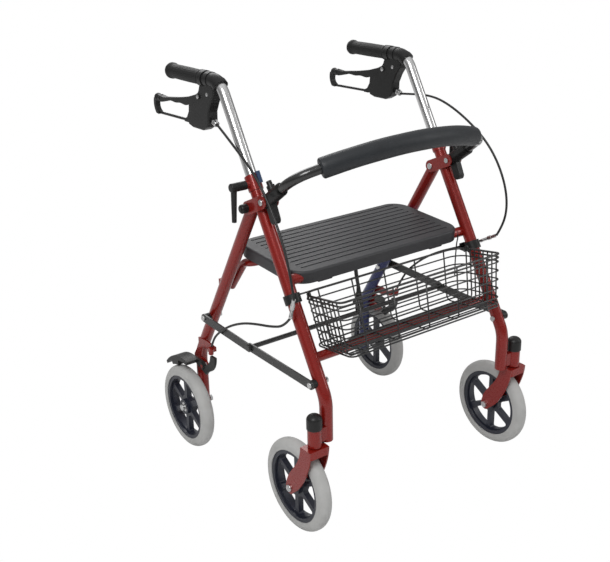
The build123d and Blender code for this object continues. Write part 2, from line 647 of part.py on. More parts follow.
def brake_housing(s, side):
    """Lever bracket clamped round the handle tube: ringed collar, two cheeks and the cable socket."""
    x = s * LEG_X
    half = HOUSING_W / 2
    outline = Polyline((203, 820), (207, 810), (217, 798), (221, 789), (240, 776), (243, 760), (255, 746), (252, 736),
                       (236, 732), (198, 732), (182, 740), (174, 750), (173, 771), (163, 790), (151, 806), (149, 818),
                       (160, 828), close=True)
    body = plate_yz(x - half, x + half, make_face(outline))
    body = fillet(body.edges().filter_by(Axis.X), 3.0)
    body = fillet(body.faces().filter_by(Axis.X).edges(), 3.5)
    body += swept(Wire([Line((x, GRIP_START - 1, GRIP_Z), (x, BEND_Y, GRIP_Z)),
                        ThreePointArc(bend_point(x, 0), bend_point(x, 17), bend_point(x, 34))]), 14.4)
    for y0, y1, r in ((190, GRIP_START - 1, 16.2), (171, 182, 15.6)):
        body += rod((x, y0, GRIP_Z), (x, y1, GRIP_Z), r)
    body += swept(Wire([ThreePointArc(bend_point(x, 26), bend_point(x, 31), bend_point(x, 36))]), 15.4)
    slot = Polyline((192, 812), (300, 812), (300, 725), (238, 725), (206, 748), (192, 772), close=True)
    body -= plate_yz(x - LEVER_W / 2 - 0.5, x + LEVER_W / 2 + 0.5, make_face(slot))
    body += cable_socket(s, side)
    body -= handle_blank(s)
    return body - across(*LEVER_PIVOT, x - 20, x + 20, 3.05)


def brake_lever(s):
    """Loop lever: finger bar on top, ball end, hooked end band and thin return bar underneath."""
    x = s * LEG_X
    half = LEVER_W / 2
    bar = make_face([Polyline((199, 806), (212, 805), (228, 798), (262, 788.5), (308, 780.5), (360, 774), (386, 776),
                              (388, 763), (372, 763)),
                     Spline((372, 763), (350, 767.5), (330, 771.5), (309, 770.5), (290, 772.5), (273, 771), (256, 775)),
                     Polyline((256, 775), (258, 760), (266, 748), (277, 742.5), (277, 737.5), (262, 737.5),
                              (247, 745), (241, 758), (238, 774), (220, 786), (200, 790), (199, 806))])
    lever = plate_yz(x - half, x + half, bar)
    band = make_face([ThreePointArc((404, 768), (405.5, 750), (398, 736)), Line((398, 736), (388, 734.7)),
                      Line((388, 734.7), (388, 740.3)), ThreePointArc((388, 740.3), (396, 747), (390, 766)),
                      Line((390, 766), (404, 768))])
    lever += plate_yz(x - 5.5, x + 5.5, band)
    lever += rod((x, 274, 740), (x, 390, 737.5), 2.8)
    lever += Pos(x, 394, 769.5) * Sphere(8.6) + rod((x, 394, 769.5), (x, 378, 769.5), 7.0)
    return lever - across(*LEVER_PIVOT, x - 10, x + 10, 3.05)


def lever_pin(s):
    """Pin of the brake lever, with a head at each end."""
    x = s * LEG_X
    face = HOUSING_W / 2 + 0.05
    pin = across(*LEVER_PIVOT, x - face - 2.2, x + face + 2.2, 3.0)
    return pin + across(*LEVER_PIVOT, x + face, x + face + 2.2, 5.0) + across(*LEVER_PIVOT, x - face - 2.2, x - face, 5.0)


def clamp_lever(s):
    """Height clamp: threaded stud, barrel head and the arm that turns it."""
    x = s * LEG_X
    stud = across(*CLAMP, x + s * (HANDLE_R + 0.4), x + s * 22, 3.0)
    head = across(*CLAMP, x + s * 19.4, x + s * 53, 8.5)
    tip = 53 if s > 0 else -53
    head = fillet(head.faces().sort_by(Axis.X)[-1 if s > 0 else 0].edges(), 3.0)
    arm = Plane(origin=(x + tip - s * 8, CLAMP[0], CLAMP[1]), z_dir=(0, 0.06, -1)) * Circle(6.0)
    foot = Plane(origin=(x + tip - s * 8, CLAMP[0] + 4, CLAMP[1] - 68), z_dir=(0, 0.06, -1)) * Circle(4.6)
    return stud + head + loft([arm, foot])


def build_handles():
    """Both handles with their brakes and clamps."""
    for side, s in SIDES.items():
        add(f"handle_tube_{side}", handle_tube(s))
        add(f"grip_{side}", grip(s))
        add(f"brake_housing_{side}", brake_housing(s, side), lever_pin(s))
        add(f"brake_lever_{side}", brake_lever(s))
        add(f"clamp_lever_{side}", clamp_lever(s))


# ---------------------------------------------------------------- backrest

BACK_DIR = Vector(0, -cos(radians(BACK_TILT)), sin(radians(BACK_TILT)))
BACK_UP = Vector(0, sin(radians(BACK_TILT)), cos(radians(BACK_TILT)))


def back_point(x, out):
    """Point of the tilted backrest plane, out from the line of the two hinge bolts."""
    return tuple(Vector(x, *BACKREST_BOLT) + BACK_DIR * out)


def back_arc():
    """Ends and middle of a corner arc, and the radius and centre of the wide front arc."""
    r1 = BACK_CORNER_R
    c1 = (BACK_HALF_W - r1, BACK_STRAIGHT)
    k = BACK_DEPTH - c1[1]
    r2 = (c1[0] ** 2 + k ** 2 - r1 ** 2) / (2 * (k - r1))
    c2_out = BACK_DEPTH - r2
    turn = atan2(c1[0], c1[1] - c2_out)
    join = (c1[0] + r1 * sin(turn), c1[1] + r1 * cos(turn))
    mid = (turn + pi / 2) / 2
    knee = (c1[0] + r1 * sin(mid), c1[1] + r1 * cos(mid))
    return join, knee, r2, c2_out


def backrest_path(start):
    """Wire of the backrest's centre line from a distance start along the straight ends."""
    (jx, jo), (kx, ko), _, _ = back_arc()
    hw = BACK_HALF_W
    return Wire([
        Line(back_point(-hw, start), back_point(-hw, BACK_STRAIGHT)),
        ThreePointArc(back_point(-hw, BACK_STRAIGHT), back_point(-kx, ko), back_point(-jx, jo)),
        ThreePointArc(back_point(-jx, jo), back_point(0, BACK_DEPTH), back_point(jx, jo)),
        ThreePointArc(back_point(jx, jo), back_point(kx, ko), back_point(hw, BACK_STRAIGHT)),
        Line(back_point(hw, BACK_STRAIGHT), back_point(hw, start)),
    ])


def pad_path():
    """The part of that line which the foam covers: nearly all of the wide front arc."""
    _, _, r2, c2_out = back_arc()
    end = c2_out + sqrt(r2 ** 2 - PAD_HALF_W ** 2)
    return Wire([ThreePointArc(back_point(-PAD_HALF_W, end), back_point(0, BACK_DEPTH), back_point(PAD_HALF_W, end))])


def swept(path, r, hole=0.0):
    """Round section swept along a ready wire."""
    face = Circle(r) - Circle(hole) if hole else Circle(r)
    return sweep(Plane(origin=path @ 0, z_dir=path % 0) * face, path)


BUTTON_AT = 26.0                # distance of the release button along the socket


def backrest_bracket(s):
    """Hinged plastic bracket: knuckle between the ears, socket for the tube, and stop leg."""
    x = s * LEG_X
    knuckle = across(*BACKREST_BOLT, x - 12.8, x + 12.8, 12.4)
    socket = rod(back_point(x, 0), back_point(x, SOCKET_L), SOCKET_R)
    pad = slot_between((-15.0, 634.0), (-29.0, 603.0), 9.0)
    stop = plate_yz(x - 6.5, x + 6.5, pad) - leg_block(x, 40, BACKREST_BOLT[1], -90, 90, -30, 13.9)
    body = knuckle + socket + stop
    body -= leg_block(x, 40, BACKREST_BOLT[1], -40, 60, -30, 13.9)
    body -= rod(back_point(x, 15), back_point(x, SOCKET_L + 5), BACK_TUBE_R)
    button_base = Vector(*back_point(x, BUTTON_AT))
    body += rod(button_base + BACK_UP * 11, button_base + BACK_UP * 20, 8.0)
    body -= rod(button_base, button_base + BACK_UP * 25, 5.6)
    return body - across(*BACKREST_BOLT, x - 20, x + 20, BOLT_R + 0.05)


def backrest_button(s):
    """Spring button that frees the tube from its socket."""
    base = Vector(*back_point(s * LEG_X, BUTTON_AT))
    return rod(base + BACK_UP * (BACK_TUBE_R + 3.0), base + BACK_UP * 29.0, 5.3)


def build_backrest():
    """Brackets, tube, foam pad and the release buttons."""
    add("backrest_brackets", *[backrest_bracket(s) for s in SIDES.values()])
    add("backrest_tube", swept(backrest_path(15.0), BACK_TUBE_R, BACK_TUBE_R - 1.5))
    add("backrest_pad", swept(pad_path(), PAD_R, BACK_TUBE_R))
    for side, s in SIDES.items():
        add(f"backrest_button_{side}", backrest_button(s))


# ---------------------------------------------------------------- basket

def basket_prism(shrink, floor_up, rim_up):
    """Tapered block between the basket's rim and floor, drawn in by shrink, its two ends raised."""
    faces = []
    levels = ((BASKET_TOP_BACK, BASKET_TOP_FRONT, BASKET_TOP_W, rim_up),
              (BASKET_LOW_BACK, BASKET_LOW_FRONT, BASKET_LOW_W, floor_up))
    for (yb, zb), (yf, zf), w, up in levels:
        yb, yf, w = yb - shrink, yf + shrink, w - shrink
        corners = [(-w, yb, zb + up), (w, yb, zb + up), (w, yf, zf + up), (-w, yf, zf + up)]
        faces.append(make_face(Polyline(*corners, close=True)))
    return loft(faces)


def basket():
    """Open wire basket, drawn as a thin closed-wall tray of its true outer shape."""
    tray = basket_prism(0.0, 0.0, 0.0)
    tray -= basket_prism(BASKET_WALL, BASKET_WALL, 1.0)
    y, z = BASKET_TOP_BACK
    hanger = across(y, z, -222.0, 222.0, 1.8)
    return tray + hanger


# ---------------------------------------------------------------- brake cables

ADJUSTER_R = 4.5


def arc_radii(points):
    """Radius for each corner: 0.45 of its shorter run over the tangent of half the turn."""
    radii = []
    for a, b, c in zip(points, points[1:], points[2:]):
        u, v = Vector(*b) - Vector(*a), Vector(*c) - Vector(*b)
        radii.append(0.45 * min(u.length, v.length) / tan(radians(u.get_angle(v)) / 2))
    return radii


def cable(points):
    """Brake cable casing along its route."""
    return bent(points, arc_radii(points), CABLE_R)


def adjuster(side):
    """Barrel adjuster between the upper and the lower cable, bored where each casing enters."""
    upper, lower = UPPER_ROUTE[side], LOWER_ROUTE[side]
    barrel = rod(upper[-1], lower[0], ADJUSTER_R)
    for end, before in ((upper[-1], upper[-2]), (lower[0], lower[1])):
        run = along(before, end)
        barrel -= rod(Vector(*end) - run * 6.0, Vector(*end) + run * 2.0, CABLE_R + 0.3)
    return barrel


def build_cables():
    """Upper cables, which move with the handles, and lower cables, which run to the rear brakes."""
    lowers = []
    for side in SIDES:
        add(f"brake_cable_upper_{side}", cable(UPPER_ROUTE[side]))
        lowers += [cable(LOWER_ROUTE[side]), adjuster(side)]
    add("brake_cables_lower", *lowers)


def main():
    """Builds every node and writes it as parts/NODE.step."""
    build_front_frame()
    build_rear_frame()
    build_wheels()
    build_seat_and_braces()
    build_handles()
    build_backrest()
    add("basket", basket())
    build_cables()
    os.makedirs("parts", exist_ok=True)
    for name, shape in NODES.items():
        export_step(Pos(0, -ORIGIN_Y, 0) * shape, f"parts/{name}.step")
    print(len(NODES), "nodes")
    for side in SIDES:
        print(side, "cable radii", [round(r) for r in arc_radii(UPPER_ROUTE[side]) + arc_radii(LOWER_ROUTE[side])])


main()
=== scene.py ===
"""Looks of the rollator walker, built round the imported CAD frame.  Metres, in the row frame."""
import json
import math
import bpy
import bmesh
from mathutils import Matrix, Vector


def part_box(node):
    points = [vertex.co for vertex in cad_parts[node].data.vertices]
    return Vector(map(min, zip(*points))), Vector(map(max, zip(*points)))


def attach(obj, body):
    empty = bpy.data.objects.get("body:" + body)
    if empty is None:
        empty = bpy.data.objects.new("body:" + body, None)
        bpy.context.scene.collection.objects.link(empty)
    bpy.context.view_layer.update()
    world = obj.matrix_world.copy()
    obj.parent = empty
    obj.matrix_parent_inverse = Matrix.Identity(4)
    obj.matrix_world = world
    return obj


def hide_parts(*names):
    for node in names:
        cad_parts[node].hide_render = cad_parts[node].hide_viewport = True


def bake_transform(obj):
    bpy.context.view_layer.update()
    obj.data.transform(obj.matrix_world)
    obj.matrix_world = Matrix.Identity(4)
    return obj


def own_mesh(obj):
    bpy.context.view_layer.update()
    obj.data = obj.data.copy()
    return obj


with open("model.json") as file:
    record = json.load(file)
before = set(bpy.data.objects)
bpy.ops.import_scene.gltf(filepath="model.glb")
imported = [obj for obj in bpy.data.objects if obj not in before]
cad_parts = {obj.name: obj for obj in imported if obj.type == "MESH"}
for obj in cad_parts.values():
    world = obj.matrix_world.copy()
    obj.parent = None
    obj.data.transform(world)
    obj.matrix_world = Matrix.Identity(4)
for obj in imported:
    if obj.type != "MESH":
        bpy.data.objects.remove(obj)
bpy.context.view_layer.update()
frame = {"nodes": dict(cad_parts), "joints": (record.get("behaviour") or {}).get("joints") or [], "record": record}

ORIGIN_Y = 0.09192          # the CAD source's working origin, measured from the row's origin
LEG_X = 236                 # middle of a leg and its handle, millimetres from the centre plane
SIDES = {"left": 1, "right": -1}
JOINT = {j["name"]: j for j in frame["joints"]}


def work(x, y, z):
    """A point given in the CAD source's millimetres, in the row frame."""
    return Vector((x / 1000, y / 1000 - ORIGIN_Y, z / 1000))


# ---------------------------------------------------------------- camera and studio

def camera():
    """The photograph's camera, solved from the wheels and the frame's straight tubes."""
    data = bpy.data.cameras.new("camera")
    data.sensor_width = 36.0
    data.lens = 56.9
    data.clip_end = 50
    cam = bpy.data.objects.new("camera", data)
    bpy.context.scene.collection.objects.link(cam)
    yaw, pitch, roll = (math.radians(a) for a in (36.01, -21.53, -1.246))
    forward = Vector((math.sin(yaw) * math.cos(pitch), math.cos(yaw) * math.cos(pitch), math.sin(pitch)))
    right = Vector((math.cos(yaw), -math.sin(yaw), 0.0))
    up = right.cross(forward)
    right2 = right * math.cos(roll) + up * math.sin(roll)
    up2 = -right * math.sin(roll) + up * math.cos(roll)
    m = Matrix((right2, up2, -forward)).transposed().to_4x4()
    m.translation = work(-1190.8, -1431.5, 1148.5)
    cam.matrix_world = m
    bpy.context.scene.camera = cam


def area_light(name, place, target, size, power, colour=(1, 1, 1)):
    """Rectangular light at place that faces target."""
    data = bpy.data.lights.new(name, "AREA")
    data.shape = "RECTANGLE"
    data.size, data.size_y = size
    data.energy = power
    data.color = colour
    light = bpy.data.objects.new(name, data)
    light.location = place
    light.rotation_euler = (Vector(target) - Vector(place)).to_track_quat("-Z", "Y").to_euler()
    bpy.context.scene.collection.objects.link(light)


FLOOR_HALF = 40.0


def white_backdrop():
    """World that is plain white to the camera and lights the walker from dim sides and a bright top."""
    world = bpy.data.worlds.new("studio")
    world.use_nodes = True
    nodes, links = world.node_tree.nodes, world.node_tree.links
    background = nodes["Background"]
    coordinates, split, path = (nodes.new("ShaderNode" + kind) for kind in ("TexCoord", "SeparateXYZ", "LightPath"))
    links.new(coordinates.outputs["Generated"], split.inputs["Vector"])
    light = ramp(nodes, links, split.outputs["Z"], [(0.0, grey(0.16)), (0.30, grey(0.34)), (1.0, grey(0.80))])
    mix = nodes.new("ShaderNodeMix")
    mix.data_type = "RGBA"
    links.new(path.outputs["Is Camera Ray"], mix.inputs["Factor"])
    links.new(light, mix.inputs["A"])
    mix.inputs["B"].default_value = (1, 1, 1, 1)
    links.new(mix.outputs["Result"], background.inputs["Color"])
    bpy.context.scene.world = world


def studio():
    """White backdrop, floor and three soft lights."""
    bpy.context.scene.view_settings.view_transform = "Standard"
    white_backdrop()
    mesh = bpy.data.meshes.new("floor")
    half = FLOOR_HALF
    mesh.from_pydata([(-half, -half, 0), (half, -half, 0), (half, half, 0), (-half, half, 0)], [], [(0, 1, 2, 3)])
    floor = bpy.data.objects.new("floor", mesh)
    bpy.context.scene.collection.objects.link(floor)
    floor.data.materials.append(floor_material())
    area_light("key", (-1.9, -1.3, 2.6), (0, 0, 0.4), (1.2, 1.2), 42)
    area_light("fill", (2.4, -2.0, 1.8), (0, 0, 0.4), (0.8, 1.8), 14)
    area_light("rim", (0.8, 2.4, 2.2), (0, 0, 0.5), (1.8, 1.2), 22)


# ---------------------------------------------------------------- materials

def new_material(name):
    """Node material, with its nodes, its links and its shader."""
    material = bpy.data.materials.new(name)
    material.use_nodes = True
    nodes, links = material.node_tree.nodes, material.node_tree.links
    return material, nodes, links, nodes["Principled BSDF"]


def object_coordinates(nodes, links, scale=(1, 1, 1)):
    """Object coordinates, scaled, as a texture vector."""
    coordinates = nodes.new("ShaderNodeTexCoord")
    mapping = nodes.new("ShaderNodeMapping")
    mapping.inputs["Scale"].default_value = scale
    links.new(coordinates.outputs["Object"], mapping.inputs["Vector"])
    return mapping.outputs["Vector"]


def noise(nodes, links, vector, scale, detail=3.0, rough=0.5):
    """Noise texture's value."""
    node = nodes.new("ShaderNodeTexNoise")
    node.inputs["Scale"].default_value = scale
    node.inputs["Detail"].default_value = detail
    node.inputs["Roughness"].default_value = rough
    links.new(vector, node.inputs["Vector"])
    return node.outputs["Fac"]


def ramp(nodes, links, fac, stops):
    """Colour ramp over a value; stops are (place, colour) pairs."""
    node = nodes.new("ShaderNodeValToRGB")
    elements = node.color_ramp.elements
    while len(elements) < len(stops):
        elements.new(0.5)
    for element, (place, colour) in zip(elements, stops):
        element.position = place
        element.color = (*colour, 1) if len(colour) == 3 else colour
    links.new(fac, node.inputs["Fac"])
    return node.outputs["Color"]


def grey(value):
    return (value, value, value)


def bump(nodes, links, height, distance, strength, normal=None):
    """Bumped normal from a height value."""
    node = nodes.new("ShaderNodeBump")
    node.inputs["Distance"].default_value = distance
    node.inputs["Strength"].default_value = strength
    links.new(height, node.inputs["Height"])
    if normal is not None:
        links.new(normal, node.inputs["Normal"])
    return node.outputs["Normal"]


def surface(name, dark, light, rough, grain_scale, grain_depth, cloud_scale=9.0, metallic=0.0, coat=0.0,
            coat_rough=0.05, sheen=0.0, specular=0.5, stretch=(1, 1, 1), anisotropic=0.0, strength=0.5):
    """Colour clouded between dark and light, roughness varied with it, and a fine bumped grain."""
    material, nodes, links, shader = new_material(name)
    vector = object_coordinates(nodes, links, stretch)
    cloud = noise(nodes, links, vector, cloud_scale, 5.0, 0.6)
    links.new(ramp(nodes, links, cloud, [(0.3, dark), (0.7, light)]), shader.inputs["Base Color"])
    grain = noise(nodes, links, vector, grain_scale, 3.0, 0.55)
    low, high = rough
    links.new(ramp(nodes, links, grain, [(0.3, grey(low)), (0.7, grey(high))]), shader.inputs["Roughness"])
    links.new(bump(nodes, links, grain, grain_depth, strength), shader.inputs["Normal"])
    shader.inputs["Metallic"].default_value = metallic
    shader.inputs["Coat Weight"].default_value = coat
    shader.inputs["Coat Roughness"].default_value = coat_rough
    shader.inputs["Sheen Weight"].default_value = sheen
    shader.inputs["Specular IOR Level"].default_value = specular
    shader.inputs["Anisotropic"].default_value = anisotropic
    return material


def floor_material():
    """Matt floor that lights the walker from below and is plain white to the camera, as a cut-out photo is."""
    material, nodes, links, shader = new_material("floor")
    cloud = noise(nodes, links, object_coordinates(nodes, links), 1.5, 2.0)
    links.new(ramp(nodes, links, cloud, [(0.0, grey(0.72)), (1.0, grey(0.76))]), shader.inputs["Base Color"])
    shader.inputs["Roughness"].default_value = 0.95
    shader.inputs["Specular IOR Level"].default_value = 0.1
    white = nodes.new("ShaderNodeEmission")
    path, mix = nodes.new("ShaderNodeLightPath"), nodes.new("ShaderNodeMixShader")
    links.new(path.outputs["Is Camera Ray"], mix.inputs["Fac"])
    links.new(shader.outputs["BSDF"], mix.inputs[1])
    links.new(white.outputs["Emission"], mix.inputs[2])
    links.new(mix.outputs["Shader"], nodes["Material Output"].inputs["Surface"])
    return material


RED_DARK, RED_LIGHT = (0.225, 0.0085, 0.0050), (0.255, 0.0105, 0.0065)
PAINTED_SHADE_TO_RED = (0.468, 0.512)        # heights between which the left rear leg turns from painted navy shade, below the seat where its shadow falls, to red
SHADE_NAVY_DARK, SHADE_NAVY_LIGHT = (0.012, 0.018, 0.085), (0.020, 0.028, 0.12)


def paint(name, under_seat_shade=None):
    """Candy red gloss over metal; with the flag set, the tube below the seat also gets painted shade, in navy, where
    the seat's shadow falls.
    """
    material, nodes, links, shader = new_material(name)
    vector = object_coordinates(nodes, links)
    cloud = noise(nodes, links, vector, 14.0, 4.0, 0.6)
    red = ramp(nodes, links, cloud, [(0.3, RED_DARK), (0.7, RED_LIGHT)])
    # painted shade: navy on the tube below the seat, blended into the red over the given heights
    if under_seat_shade:
        navy = ramp(nodes, links, cloud, [(0.3, SHADE_NAVY_DARK), (0.7, SHADE_NAVY_LIGHT)])
        split = nodes.new("ShaderNodeSeparateXYZ")
        coordinates = nodes.new("ShaderNodeTexCoord")
        links.new(coordinates.outputs["Object"], split.inputs["Vector"])
        edge = nodes.new("ShaderNodeMapRange")
        edge.inputs["From Min"].default_value, edge.inputs["From Max"].default_value = PAINTED_SHADE_TO_RED
        links.new(split.outputs["Z"], edge.inputs["Value"])
        mix = nodes.new("ShaderNodeMix")
        mix.data_type = "RGBA"
        links.new(edge.outputs["Result"], mix.inputs["Factor"])
        links.new(navy, mix.inputs["A"])
        links.new(red, mix.inputs["B"])
        red = mix.outputs["Result"]
    links.new(red, shader.inputs["Base Color"])
    peel = noise(nodes, links, vector, 420.0, 1.0, 0.4)
    links.new(ramp(nodes, links, peel, [(0.3, grey(0.24)), (0.7, grey(0.34))]), shader.inputs["Roughness"])
    links.new(bump(nodes, links, peel, 0.00006, 0.35), shader.inputs["Normal"])
    shader.inputs["Metallic"].default_value = 0.2
    shader.inputs["Specular IOR Level"].default_value = 0.3
    shader.inputs["Coat Weight"].default_value = 0.5
    shader.inputs["Coat Roughness"].default_value = 0.08
    return material


def webbing_material():
    """Narrow woven tape: two crossed waves, with the yarns' shadow between them."""
    material, nodes, links, shader = new_material("webbing")
    vector = object_coordinates(nodes, links)
    heights = []
    for direction, scale in (("Z", 520.0), ("X", 380.0)):
        wave = nodes.new("ShaderNodeTexWave")
        wave.wave_type = "BANDS"
        wave.bands_direction = direction
        wave.inputs["Scale"].default_value = scale / 6.28
        links.new(vector, wave.inputs["Vector"])
        heights.append(wave.outputs["Fac"])
    weave = nodes.new("ShaderNodeMath")
    weave.operation = "MULTIPLY"
    links.new(heights[0], weave.inputs[0])
    links.new(heights[1], weave.inputs[1])
    links.new(ramp(nodes, links, weave.outputs[0], [(0.1, grey(0.006)), (0.9, grey(0.035))]),
              shader.inputs["Base Color"])
    links.new(bump(nodes, links, weave.outputs[0], 0.0004, 0.7), shader.inputs["Normal"])
    shader.inputs["Roughness"].default_value = 0.8
    shader.inputs["Sheen Weight"].default_value = 0.3
    return material


def all_materials():
    """The procedural material of every slot."""
    return {
        "red_paint": paint("red_paint"),
        # red paint with painted navy shade on the tube below the seat
        "red_and_navy_paint": paint("red_and_navy_paint", under_seat_shade=True),
        "black_plastic": surface("black_plastic", grey(0.009), grey(0.014), (0.34, 0.46), 900, 0.00008, specular=0.35),
        "navy_plastic": surface("navy_plastic", (0.010, 0.035, 0.09), (0.016, 0.05, 0.13), (0.35, 0.5), 900, 0.00006),
        "hub_plastic": surface("hub_plastic", (0.010, 0.012, 0.022), (0.016, 0.019, 0.034), (0.34, 0.48), 700,
                               0.0001, specular=0.6),
        "bolt_steel": surface("bolt_steel", grey(0.50), grey(0.66), (0.22, 0.36), 1500, 0.00003, metallic=1.0),
        "handle_alloy": surface("handle_alloy", grey(0.60), grey(0.74), (0.14, 0.24), 260, 0.00002, metallic=1.0,
                                stretch=(9, 1, 1), anisotropic=0.3),
        "tyre_grey": surface("tyre_grey", (0.42, 0.42, 0.41), (0.50, 0.50, 0.49), (0.55, 0.7), 520, 0.00012,
                             cloud_scale=22, specular=0.35),
        "brace_steel": surface("brace_steel", grey(0.030), grey(0.045), (0.32, 0.46), 700, 0.00004, metallic=0.35,
                               coat=0.2),
        "basket_wire": surface("basket_wire", grey(0.010), grey(0.018), (0.28, 0.42), 800, 0.00004, coat=0.3),
        "backrest_steel": surface("backrest_steel", grey(0.008), grey(0.014), (0.20, 0.30), 500, 0.00003, coat=0.6),
        "seat_plastic": surface("seat_plastic", (0.034, 0.034, 0.037), (0.044, 0.044, 0.048), (0.40, 0.55), 1100,
                                0.00018, specular=0.5, strength=0.7),
        "foam": surface("foam", (0.014, 0.016, 0.019), (0.019, 0.022, 0.026), (0.42, 0.56), 800, 0.0001,
                        cloud_scale=30, specular=0.45, strength=0.4),
        "grip_rubber": surface("grip_rubber", grey(0.008), grey(0.013), (0.50, 0.64), 900, 0.00012, specular=0.35,
                               strength=0.5),
        "webbing": webbing_material(),
        "cable_casing": surface("cable_casing", grey(0.010), grey(0.016), (0.35, 0.5), 900, 0.00004),
    }


# ---------------------------------------------------------------- geometry helpers

def link_mesh(name, mesh, material, smooth=True):
    """Object for a mesh, with its material and smooth shading."""
    obj = bpy.data.objects.new(name, mesh)
    bpy.context.scene.collection.objects.link(obj)
    obj.data.materials.append(MATERIALS[material])
    for polygon in obj.data.polygons:
        polygon.use_smooth = smooth
    return obj


def finished(obj, body, slot, *replaced):
    """Seats a finished piece on its body and hides the CAD nodes that it stands for; the material slot is not used."""
    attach(obj, body)
    if replaced:
        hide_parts(*replaced)
    return obj


def smooth_line(points, closed=False, order=3, resolution=10):
    """Points read from the NURBS spline whose control points are given."""
    curve = bpy.data.curves.new("line", "CURVE")
    curve.dimensions = "3D"
    spline = curve.splines.new("NURBS")
    spline.points.add(len(points) - 1)
    for place, point in zip(spline.points, points):
        place.co = (*point, 1)
    spline.order_u = order
    spline.use_endpoint_u = not closed
    spline.use_cyclic_u = closed
    spline.resolution_u = resolution
    holder = bpy.data.objects.new("line", curve)
    bpy.context.scene.collection.objects.link(holder)
    bpy.context.view_layer.update()
    graph = bpy.context.evaluated_depsgraph_get()
    mesh = bpy.data.meshes.new_from_object(holder.evaluated_get(graph))
    line = [v.co.copy() for v in mesh.vertices]
    bpy.data.objects.remove(holder)
    bpy.data.meshes.remove(mesh)
    return line


def frames_along(line, closed=False):
    """Unit tangent, side and up at each point of a line, turned as little as possible between points."""
    count = len(line)
    tangents = []
    for i in range(count):
        before = line[(i - 1) % count] if closed or i > 0 else line[i]
        after = line[(i + 1) % count] if closed or i < count - 1 else line[i]
        tangents.append((after - before).normalized())
    up = Vector((0, 0, 1)) if abs(tangents[0].z) < 0.9 else Vector((0, 1, 0))
    frames = []
    for tangent in tangents:
        up = (up - tangent * up.dot(tangent)).normalized()
        frames.append((tangent, tangent.cross(up).normalized(), up))
    return frames


def add_tube(bm, line, radius, sides=10, closed=False):
    """Sweeps a round section along a line into bm.  radius is a number or one per point."""
    radii = radius if isinstance(radius, (list, tuple)) else [radius] * len(line)
    rings = []
    for point, (_, side, up), r in zip(line, frames_along(line, closed), radii):
        rings.append([bm.verts.new(point + (side * math.cos(a) + up * math.sin(a)) * r)
                      for a in (2 * math.pi * k / sides for k in range(sides))])
    pairs = list(zip(rings, rings[1:]))
    if closed:
        pairs.append((rings[-1], rings[0]))
    for lower, upper in pairs:
        for k in range(sides):
            bm.faces.new((lower[k], lower[(k + 1) % sides], upper[(k + 1) % sides], upper[k]))
    if not closed:
        bm.faces.new(list(reversed(rings[0])))
        bm.faces.new(rings[-1])
    return rings


def mesh_from(bm, name):
    """Mesh from bm, its normals outward."""
    mesh = bpy.data.meshes.new(name)
    bmesh.ops.recalc_face_normals(bm, faces=bm.faces)
    bm.to_mesh(mesh)
    bm.free()
    return mesh


def tube(name, line, radius, material, sides=16, closed=False, smooth=True):
    """Round tube along a line."""
    bm = bmesh.new()
    add_tube(bm, line, radius, sides, closed)
    return link_mesh(name, mesh_from(bm, name), material, smooth)


def sharp_by_angle(obj, angle=35.0):
    """Smooth shading that still breaks at real edges."""
    obj.data.set_sharp_from_angle(angle=math.radians(angle))
    return obj


def rounded_path(corners, radii, steps=8, closed=False):
    """Straight runs joined by arcs of the given radii (a wire bent round a former)."""
    count = len(corners)
    path = []
    for i, corner in enumerate(corners):
        if not closed and i in (0, count - 1):
            path.append(corner.copy())
            continue
        before, after = corners[i - 1], corners[(i + 1) % count]
        u, v = (before - corner).normalized(), (after - corner).normalized()
        half = u.angle(v) / 2
        reach = min(radii[i] / math.tan(half), 0.49 * (before - corner).length, 0.49 * (after - corner).length)
        r = reach * math.tan(half)
        centre = corner + (u + v).normalized() * (r / math.sin(half))
        a, b = corner + u * reach - centre, corner + v * reach - centre
        turn = a.angle(b)
        for k in range(steps + 1):
            t = k / steps
            path.append(centre + (a * math.sin((1 - t) * turn) + b * math.sin(t * turn)) / math.sin(turn))
    return path


# ---------------------------------------------------------------- wire basket

BASKET_TOP = ((-62.0, 457.0), (-184.0, 477.0))      # (y, z) of the rim, back and front
BASKET_LOW = ((-89.0, 358.0), (-201.0, 372.0))      # (y, z) of the floor, back and front
BASKET_HALF = (207.0, 194.0)                        # half widths of the rim and the floor
MESH_WIRE, RIM_WIRE = 0.00155, 0.0022


def basket_point(across, depth, height):
    """across -1..1 from right to left, depth 0..1 from back to front, height 0..1 from floor to rim."""
    half = BASKET_HALF[1] + (BASKET_HALF[0] - BASKET_HALF[1]) * height
    low = [a + (b - a) * depth for a, b in zip(*BASKET_LOW)]
    top = [a + (b - a) * depth for a, b in zip(*BASKET_TOP)]
    y, z = (a + (b - a) * height for a, b in zip(low, top))
    return work(across * half, y, z)


def basket_ring(height, radii):
    """Closed ring round the basket at one height, its corners rounded."""
    corners = [basket_point(a, d, height) for a, d in ((-1, 0), (1, 0), (1, 1), (-1, 1))]
    return rounded_path(corners, radii, closed=True)


